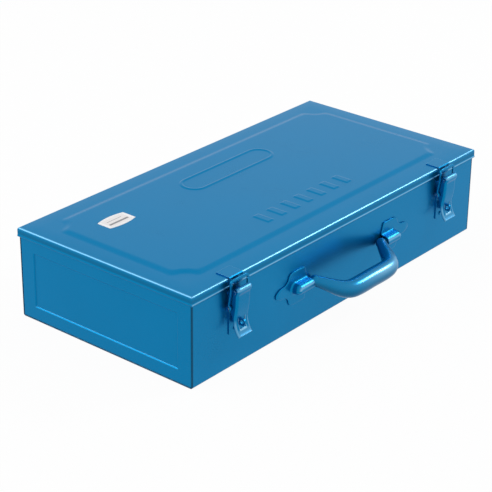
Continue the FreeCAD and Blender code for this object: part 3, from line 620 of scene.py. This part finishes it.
class TOOLBOX_OT_handle(bpy.types.Operator):
    """Bail handle swept along its bent line, with round elbows and turned ends"""
    bl_idname = "tool_box.handle"
    bl_label = "Carry Handle"

    def execute(self, context):
        size = context.scene.tool_box_handle
        pivot = np.array(JOINTS["handle_pivot"]["pos_m"])
        outward = np.array([0.0, -math.cos(size.droop), -math.sin(size.droop)])
        elbow = size.half - size.elbow
        # Distance in from the shoulder in millimetres, share of the reach, share of the swell.
        bend = np.array([(33.0, 1.0, 0.98), (25.4, 0.955, 0.90), (19.9, 0.83, 0.74), (15.8, 0.65, 0.56),
                         (11.2, 0.37, 0.30), (5.1, 0.0, 0.0)])
        right = np.stack([size.half - bend[:, 0] * MM, bend[:, 1] * size.reach,
                          size.arm + (size.grip - size.arm) * bend[:, 2]], axis=1)
        left = right[::-1] * np.array([-1.0, 1.0, 1.0])
        stations = np.concatenate([left, [[0.0, size.reach, size.grip]], right])
        along = run_length(stations[:, :2])
        line = through(along, stations, np.linspace(0.0, along[-1], 121))
        centre = line[:, :1] * np.array([1.0, 0.0, 0.0]) + line[:, 1:2] * outward + pivot
        step = np.gradient(centre, axis=0)
        step /= np.linalg.norm(step, axis=1)[:, None]
        upright = np.cross(outward, [1.0, 0.0, 0.0])
        flank = np.cross(upright, step)
        angle = np.linspace(0.0, 2.0 * math.pi, 48, endpoint=False)
        spoke = flank[:, None, :] * np.cos(angle)[:, None] + upright * np.sin(angle)[:, None]
        tube = centre[:, None, :] + line[:, 2][:, None, None] * spoke
        cap = [np.broadcast_to(centre[i], (1, len(angle), 3)) for i in (0, -1)]
        tube = np.concatenate([cap[0], tube, cap[1]])
        patches = [(tube, grid_faces(*tube.shape[:2], wrap_columns=True)[:, ::-1])]
        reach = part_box("carry_handle")[1].x
        lean = math.asin(size.pin / size.elbow)
        turn = np.linspace(math.pi, lean, 20)
        shoulder = np.stack([elbow + size.elbow * np.cos(turn), size.elbow * np.sin(turn)], axis=1)
        shoulder[0, 1] = 0.0
        ends = np.array([(reach - 0.4 * MM, size.pin), (reach, size.pin - 0.4 * MM), (reach, 0.0)])
        profile = np.concatenate([shoulder, ends])
        for sign in (1.0, -1.0):
            patches.append(turned(profile * np.array([sign, 1.0]), pivot, 40))
        # Pale band where the palm rubs and where the lamp's highlight falls, partly worn paint and partly a
        # painted highlight: a bell along the grip times a bell round the bar.
        along_grip_wear_and_sheen = np.exp(-((tube[:, :1, 0] - 17.0 * MM) / (30.0 * MM)) ** 2)
        round_bar_wear_and_sheen = np.exp(-((angle - math.radians(122)) / math.radians(24)) ** 2)
        wear_and_painted_light = np.zeros(sum(p.size // 3 for p, faces in patches))
        wear_and_painted_light[:along_grip_wear_and_sheen.size * len(angle)] = (0.6 * along_grip_wear_and_sheen * round_bar_wear_and_sheen).reshape(-1)
        handle = make_piece("bail_handle", patches, weld=0.001 * MM, wear_and_painted_light=wear_and_painted_light)
        finish_piece(handle, finish("handle_enamel"), "handle", ["carry_handle"])
        return {"FINISHED"}


# Half outline of a bracket's plate as distance along from the box's middle and height, millimetres.
BRACKET_EDGE = np.array([(58.0, 28.0), (60.5, 27.0), (77.0, 27.0), (80.0, 30.0), (81.0, 34.5), (85.0, 38.0),
                         (93.0, 38.0), (97.5, 41.0), (98.0, 43.0), (97.5, 45.0), (93.0, 48.5), (85.0, 49.0),
                         (81.0, 52.0), (80.0, 56.0), (77.0, 59.0), (60.5, 59.0), (58.0, 58.0)])


class TOOLBOX_OT_brackets(bpy.types.Operator):
    """Handle brackets pressed from one sheet: a scalloped plate that swells into a half-round boss"""
    bl_idname = "tool_box.brackets"
    bl_label = "Handle Brackets"

    def execute(self, context):
        size = context.scene.tool_box_bracket
        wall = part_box("body_shell")[0].y
        pivot = JOINTS["handle_pivot"]["pos_m"]
        out, mid = wall - pivot[1], pivot[2]
        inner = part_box("right_handle_bracket")[0].x
        edge = BRACKET_EDGE * MM
        # Two rounds of cutting its corners make the outline smooth.
        for repeat in range(2):
            cut_corners = np.stack([0.75 * edge[:-1] + 0.25 * edge[1:],
                                    0.25 * edge[:-1] + 0.75 * edge[1:]], axis=1)
            edge = np.concatenate([edge[:1], cut_corners.reshape(-1, 2), edge[-1:]])
        nose = inner + size.length - size.radius
        turn = np.radians(np.linspace(-90.0, 90.0, 61))
        about = edge - np.array([nose, mid])
        beyond = about[:, 0] > -0.5 * MM
        reach = np.interp(turn, np.arctan2(about[beyond, 1], about[beyond, 0]), np.hypot(*about[beyond].T))
        ray = np.stack([np.cos(turn), np.sin(turn)], axis=1)
        along = np.linspace(edge[0, 0], nose, 9)[:-1]
        lower = edge[edge[:, 1] < mid]
        upper = edge[edge[:, 1] > mid][::-1]
        low_z = np.interp(along, lower[:, 0], lower[:, 1])
        high_z = np.interp(along, upper[:, 0], upper[:, 1])
        foot_s = inner + (along - edge[0, 0]) * (nose - inner) / (nose - edge[0, 0])
        foot = np.concatenate([foot_s, np.full(len(turn), nose), foot_s[::-1]])
        end_s = np.concatenate([along, nose + reach * ray[:, 0], along[::-1]])
        end_z = np.concatenate([low_z, mid + reach * ray[:, 1], high_z[::-1]])
        far = np.hypot(end_s - foot, end_z - mid)
        side_s = (end_s - foot) / far
        side_z = (end_z - mid) / far

        up = np.linspace(0.5 * math.pi, 0.0, 10)
        fillet = np.linspace(0.0, 0.5 * math.pi, 6)
        soft = 1.9 * MM
        rho = np.concatenate([size.radius * np.cos(up), size.radius + soft * (1.0 - np.cos(fillet))])
        height = np.concatenate([out + size.radius * np.sin(up), size.plate + soft * (1.0 - np.sin(fillet))])
        start = rho[-1]
        rest = np.linspace(0.0, 1.0, 5)[1:]
        rho = np.concatenate([np.broadcast_to(rho, (len(far), len(rho))),
                              start + (far - start)[:, None] * rest], axis=1)
        height = np.broadcast_to(np.concatenate([height, np.full(len(rest), size.plate)]), rho.shape)
        # Rays lean only beyond the boss, so that its straight part keeps the section of a round bar.
        lean = np.clip((rho - size.radius) / (far[:, None] - size.radius), 0.0, 1.0)
        on_nose = (foot == nose)[:, None]
        s = foot[:, None] + np.where(on_nose, rho * side_s[:, None], lean * (end_s - foot)[:, None])
        z = mid + rho * np.where(on_nose, side_z[:, None], np.sign(side_z)[:, None])
        faces = grid_faces(*s.shape)
        # A pale band high on the boss's upper side, through the per-point attribute: a painted highlight.
        painted_crest_highlight = 0.7 * np.exp(-((rho / size.radius - 0.42) / 0.2) ** 2) * (side_z > 0.0)[:, None]
        for side, sign in zip(SIDES, (-1.0, 1.0)):
            points = np.stack([sign * s, wall - height, z], axis=-1)
            outward = faces[:, ::-1] if sign > 0.0 else faces
            bracket = make_piece(side + "_bracket_pressing", [(points, outward)], weld=0.002 * MM, wear_and_painted_light=painted_crest_highlight)
            add_modifier(bracket, "SOLIDIFY", "sheet", thickness=size.plate - 0.02 * MM, offset=-1.0)
            soften_edges(bracket, 0.3 * MM)
            finish_piece(bracket, finish("enamel"), "box", [side + "_handle_bracket"])
        return {"FINISHED"}


# A lever's outer face from its rolled top to the tip of its tab, as distance out from the front
# wall and height, and how deep the sides are at each height. Millimetres.
LEVER_FACE = np.array([(9.0, 78.1), (9.6, 78.35), (10.4, 78.3), (11.2, 77.8), (11.8, 76.6), (11.8, 75.3),
                       (11.2, 74.0), (10.5, 72.7), (10.2, 70.5), (10.0, 66.0), (9.4, 59.0), (8.4, 53.0),
                       (7.8, 49.6), (7.7, 45.5), (8.4, 42.2), (9.7, 39.0), (11.4, 36.2), (13.0, 34.4)])
LEVER_DEPTH = np.array([(33.0, 0.9), (44.0, 0.9), (48.0, 1.3), (51.0, 2.6), (54.5, 5.0), (57.5, 7.4),
                        (60.5, 7.7), (66.0, 6.8), (71.5, 6.0), (73.2, 5.4), (74.6, 2.6), (76.0, 1.6),
                        (78.4, 1.6)])


class TOOLBOX_OT_levers(bpy.types.Operator):
    """Latch levers folded from one sheet: face, sides, rolled top, slot and finger tab"""
    bl_idname = "tool_box.levers"
    bl_label = "Latch Levers"

    def execute(self, context):
        size = context.scene.tool_box_latch
        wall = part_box("body_shell")[0].y
        raw = run_length(LEVER_FACE)
        fine = through(raw, LEVER_FACE, np.linspace(0.0, raw[-1], 600))
        heights = fine[:, 1]
        last = len(fine) - 1
        past_roll = len(fine) // 3
        marks = [past_roll + np.argmin(np.abs(heights[past_roll:] - h / MM))
                 for h in (size.slot_high, size.slot_low)]
        rows = np.unique(np.concatenate([np.arange(0, marks[0], 8),
                                         np.linspace(marks[0], marks[1], 12).astype(int),
                                         np.arange(marks[1] + 8, last, 8), [last]]))
        face = fine[rows] * MM
        step = np.gradient(face, axis=0)
        step /= np.linalg.norm(step, axis=1)[:, None]
        inward = np.stack([step[:, 1], -step[:, 0]], axis=1)
        deep = np.interp(face[:, 1] / MM, LEVER_DEPTH[:, 0], LEVER_DEPTH[:, 1]) * MM
        round_off = np.minimum(size.corner, 0.6 * deep)
        turn = np.linspace(0.0, 0.5 * math.pi, 6)
        flat = graded(-size.half + size.corner, 1.2 * MM, -size.slot_half, 1.0 * MM, size.slot_half, 1.2 * MM,
                      size.half - size.corner)[1:-1]
        side_x = np.concatenate([[1.0, 1.0, 1.0], np.cos(turn)])
        side_deep = np.concatenate([[1.0, 0.66, 0.33], np.zeros(6)])
        side_arc = np.concatenate([[1.0, 1.0, 1.0], 1.0 - np.sin(turn)])
        reach = size.half - size.corner + size.corner * side_x
        x = np.concatenate([-reach, flat, reach[::-1]])
        sunk = (round_off[:, None] * side_arc
                + np.maximum(deep - round_off, 0.0)[:, None] * side_deep)
        sunk = np.concatenate([sunk, np.zeros((len(face), len(flat))), sunk[:, ::-1]], axis=1)
        out = face[:, :1] + inward[:, :1] * sunk
        up = face[:, 1:] + inward[:, 1:] * sunk
        faces = grid_faces(len(face), len(x))
        # Pale on the roll, on the tab and its tip, on the rims below the slot's top, and along
        # the slot's sides and lower end: partly worn paint and partly a painted highlight.
        rolled = np.exp(-((face[:, 1] - 77.2 * MM) / (0.9 * MM)) ** 2)
        tip = np.clip(1.0 - (face[:, 1] - face[-1, 1]) / (0.8 * MM), 0.0, 1.0)
        lifted = (face[:, 1] < size.slot_high)[:, None]
        low_end = ease((size.slot_high - face[:, 1]) / (7.0 * MM))[:, None]
        rim = np.exp(-((np.abs(x) - size.half + 0.35 * size.corner) / (0.35 * size.corner)) ** 2) * low_end
        beside = np.abs(np.abs(x) - size.slot_half) < 0.1 * MM
        below = np.abs(face[:, 1] - size.slot_low + 0.5 * MM)[:, None] < 0.9 * MM
        cut = (beside & lifted & (face[:, 1] > size.slot_low - 0.5 * MM)[:, None]
               | below & (np.abs(x) < size.slot_half + 0.1 * MM))
        tab = ease((size.slot_low - face[:, 1]) / (1.5 * MM))
        wear_and_painted_light = np.maximum(np.maximum(0.6 * rolled, 0.2 * tip + 0.25 * tab)[:, None],
                          np.maximum(0.6 * rim, cut))
        mid_x = 0.5 * (x[1:] + x[:-1])
        mid_row = 0.5 * (rows[1:] + rows[:-1])
        in_rows = (mid_row > marks[0]) & (mid_row < marks[1])
        in_slot = in_rows[:, None] & (np.abs(mid_x) < size.slot_half)[None, :]
        faces = faces[~in_slot.reshape(-1)]
        for side in SIDES:
            low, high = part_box(side + "_lever")
            middle = 0.5 * (low.x + high.x)
            points = np.stack([np.broadcast_to(x + middle, out.shape), wall - out, up], axis=-1)
            lever = make_piece(side + "_lever_pressing", [(points, faces[:, ::-1])], wear_and_painted_light=wear_and_painted_light)
            add_modifier(lever, "SOLIDIFY", "sheet", thickness=size.sheet, offset=-1.0, use_even_offset=True)
            soften_edges(lever, 0.18 * MM)
            finish_piece(lever, finish("enamel"), side + "_lever_arm", [side + "_lever"])
        return {"FINISHED"}


class TOOLBOX_OT_links(bpy.types.Operator):
    """Latch links: a flat bar bent to an upturned U, with rolled eyes on the link pin"""
    bl_idname = "tool_box.links"
    bl_label = "Latch Links"

    def execute(self, context):
        size = context.scene.tool_box_latch
        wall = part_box("body_shell")[0].y
        for side in SIDES:
            low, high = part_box(side + "_link")
            pin = np.array(JOINTS[side + "_link_hinge"]["pos_m"])
            half = 0.5 * (high.x - low.x) - 0.5 * size.leg_width
            top = high.z - 0.5 * size.bar_height
            bend = size.link_corner
            turn = np.linspace(0.0, 0.5 * math.pi, 9)
            leg = np.linspace(pin[2], top - bend, 14)
            right_x = np.concatenate([np.full(len(leg), half), half - bend + bend * np.cos(turn)])
            right_z = np.concatenate([leg, top - bend + bend * np.sin(turn)])
            x = np.concatenate([-right_x, right_x[::-1]])
            z = np.concatenate([right_z, right_z[::-1]])
            out_low = wall - pin[1]
            out_high = wall - low.y - 0.5 * size.link_thick
            share = ease((z - pin[2]) / (0.75 * (top - pin[2])))
            out = out_low + (out_high - out_low) * share
            flat = np.stack([x, z], axis=1)
            step = np.gradient(flat, axis=0)
            step /= np.linalg.norm(step, axis=1)[:, None]
            across = np.stack([-step[:, 1], step[:, 0]], axis=1)
            angle = np.linspace(0.0, 2.0 * math.pi, 24, endpoint=False)
            # The bar's section is flat with round corners.
            square = np.sign(np.cos(angle)) * np.abs(np.cos(angle)) ** 0.35
            thick = np.sign(np.sin(angle)) * np.abs(np.sin(angle)) ** 0.35
            wide = 0.5 * size.leg_width * square
            px = x[:, None] + across[:, :1] * wide
            pz = z[:, None] + across[:, 1:] * wide
            py = wall - out[:, None] - 0.5 * size.link_thick * thick
            middle = 0.5 * (low.x + high.x)
            bar = np.stack([px + middle, py, pz], axis=-1)
            ends = [np.broadcast_to(bar[i].mean(axis=0), (1, len(angle), 3)) for i in (0, -1)]
            bar = np.concatenate([ends[0], bar, ends[1]])
            patches = [(bar, grid_faces(*bar.shape[:2], wrap_columns=True)[:, ::-1])]
            lip = 0.35 * MM
            hole = size.eye * 0.52
            ring = np.array([(-0.5, hole), (-0.5, size.eye - lip), (-0.5, size.eye), (0.5, size.eye),
                             (0.5, size.eye - lip), (0.5, hole), (-0.5, hole)])
            ring[:, 0] *= size.leg_width
            ring[2, 0] += lip
            ring[3, 0] -= lip
            for sign in (-1.0, 1.0):
                patches.append(turned(ring[::-1], pin + np.array([sign * half, 0.0, 0.0]), 32))
            link = make_piece(side + "_link_bow", patches, weld=0.001 * MM)
            finish_piece(link, finish("enamel"), side + "_link_frame", [side + "_link"])
        return {"FINISHED"}


class TOOLBOX_OT_sheet_metal(bpy.types.Operator):
    """Finishes for the folded body, its fittings and the tray, whose shapes come with the frame"""
    bl_idname = "tool_box.sheet_metal"
    bl_label = "Body And Fittings"

    def execute(self, context):
        looks = {BLUE: "enamel", TRAY_BLUE: "tray_finish", STEEL: "zinc", PAPER: "label"}
        slots = {part["node"]: part["material_slot"] for part in RECORD["subparts"]}
        for name, node in NODES.items():
            material = finish(looks[slots[name]])
            if not node.data.materials:
                node.data.materials.append(material)
            for index in range(len(node.data.materials)):
                node.data.materials[index] = material
        return {"FINISHED"}


# The stage, in metres and watts. A lamp is its name, place, width, height and power.
FLOOR_HALF = 6.0
ROOM_LIGHT = 0.62
LAMP_AIM = Vector((0.0, 0.0, 0.04))
LAMPS = [("right_softbox", (1.35, -0.80, 1.20), 0.5, 0.32, 10.0),
         ("left_softbox", (-0.95, 1.05, 1.15), 1.4, 1.0, 8.0)]
CAMERA_LENS = 124.3
CAMERA_AIM = Vector((-0.03564, -0.01553, 0.04286))
CAMERA_DISTANCE = 1.5414
AZIMUTH = math.radians(-50.40)
ELEVATION = math.radians(25.73)
ROLL = 0.010855


class TOOLBOX_OT_stage(bpy.types.Operator):
    """Pale floor, soft studio lamps and the camera"""
    bl_idname = "tool_box.stage"
    bl_label = "Stage"

    def execute(self, context):
        scene = context.scene
        corners = FLOOR_HALF * np.array([(-1.0, -1.0, 0.0), (1.0, -1.0, 0.0), (1.0, 1.0, 0.0),
                                         (-1.0, 1.0, 0.0)])
        floor = make_piece("floor", [(corners, np.array([[0, 1, 2, 3]]))])
        floor.data.materials.append(finish("floor"))

        world = bpy.data.worlds.new("studio")
        world.use_nodes = True
        scene.world = world
        nodes = world.node_tree.nodes
        links = world.node_tree.links
        nodes.clear()
        output = nodes.new("ShaderNodeOutputWorld")
        path = nodes.new("ShaderNodeLightPath")
        room = nodes.new("ShaderNodeBackground")
        room.inputs["Color"].default_value = (0.95, 0.97, 1.0, 1.0)
        room.inputs["Strength"].default_value = ROOM_LIGHT
        white = nodes.new("ShaderNodeBackground")
        white.inputs["Color"].default_value = (1.0, 1.0, 1.0, 1.0)
        white.inputs["Strength"].default_value = 1.0
        seen = path.outputs["Is Camera Ray"]
        for ray in ("Is Glossy Ray", "Is Transmission Ray"):
            either = nodes.new("ShaderNodeMath")
            either.operation = "MAXIMUM"
            links.new(seen, either.inputs[0])
            links.new(path.outputs[ray], either.inputs[1])
            seen = either.outputs[0]
        blend = nodes.new("ShaderNodeMixShader")
        links.new(seen, blend.inputs[0])
        links.new(room.outputs[0], blend.inputs[1])
        links.new(white.outputs[0], blend.inputs[2])
        links.new(blend.outputs[0], output.inputs["Surface"])

        for name, spot, width, height, power in LAMPS:
            lamp = bpy.data.lights.new(name, "AREA")
            lamp.shape = "RECTANGLE"
            lamp.size = width
            lamp.size_y = height
            lamp.energy = power
            holder = bpy.data.objects.new(name, lamp)
            holder.location = spot
            holder.rotation_euler = (LAMP_AIM - Vector(spot)).to_track_quat("-Z", "Y").to_euler()
            scene.collection.objects.link(holder)

        camera = bpy.data.cameras.new("camera")
        camera.sensor_width = 36.0
        camera.lens = CAMERA_LENS
        camera.clip_end = 50.0
        holder = bpy.data.objects.new("camera", camera)
        scene.collection.objects.link(holder)
        back = Vector((math.sin(AZIMUTH) * math.cos(ELEVATION), -math.cos(AZIMUTH) * math.cos(ELEVATION),
                       math.sin(ELEVATION)))
        right = (-back).cross(Vector((0.0, 0.0, 1.0))).normalized()
        up = right.cross(-back)
        right_rolled = math.cos(ROLL) * right + math.sin(ROLL) * up
        up_rolled = math.cos(ROLL) * up - math.sin(ROLL) * right
        eye = CAMERA_AIM + CAMERA_DISTANCE * back
        turn = Matrix((right_rolled, up_rolled, back)).transposed()
        holder.matrix_world = Matrix.Translation(eye) @ turn.to_4x4()
        scene.camera = holder
        scene.view_settings.view_transform = "Standard"
        return {"FINISHED"}


class TOOLBOX_PT_panel(bpy.types.Panel):
    """The tool box's pieces, in the order they are made"""
    bl_idname = "TOOLBOX_PT_panel"
    bl_label = "Tool Box"
    bl_space_type = "VIEW_3D"
    bl_region_type = "UI"
    bl_category = "Tool Box"

    def draw(self, context):
        for operator in OPERATORS:
            self.layout.operator(operator.bl_idname)
        for holder, kind in GROUPS.items():
            group = getattr(context.scene, holder)
            column = self.layout.box().column()
            for key in kind.__annotations__:
                column.prop(group, key)


GROUPS = {"tool_box_lid": LidSizes, "tool_box_handle": HandleSizes, "tool_box_bracket": BracketSizes,
          "tool_box_latch": LatchSizes, "tool_box_finish": Finish}
OPERATORS = [TOOLBOX_OT_sheet_metal, TOOLBOX_OT_lid, TOOLBOX_OT_label, TOOLBOX_OT_handle, TOOLBOX_OT_brackets,
             TOOLBOX_OT_levers, TOOLBOX_OT_links, TOOLBOX_OT_stage]


def register():
    """Registers the groups, operators and panel, and puts the groups on the scene."""
    for kind in [*GROUPS.values(), *OPERATORS, TOOLBOX_PT_panel]:
        bpy.utils.register_class(kind)
    for holder, kind in GROUPS.items():
        setattr(bpy.types.Scene, holder, bpy.props.PointerProperty(type=kind))


def unregister():
    """Takes back what register did."""
    for holder in GROUPS:
        delattr(bpy.types.Scene, holder)
    for kind in [*GROUPS.values(), *OPERATORS, TOOLBOX_PT_panel]:
        bpy.utils.unregister_class(kind)


def main():
    """Makes every piece and the stage in order."""
    register()
    for operator in OPERATORS:
        group, name = operator.bl_idname.split(".")
        getattr(getattr(bpy.ops, group), name)()


if __name__ == "__main__":
    main()
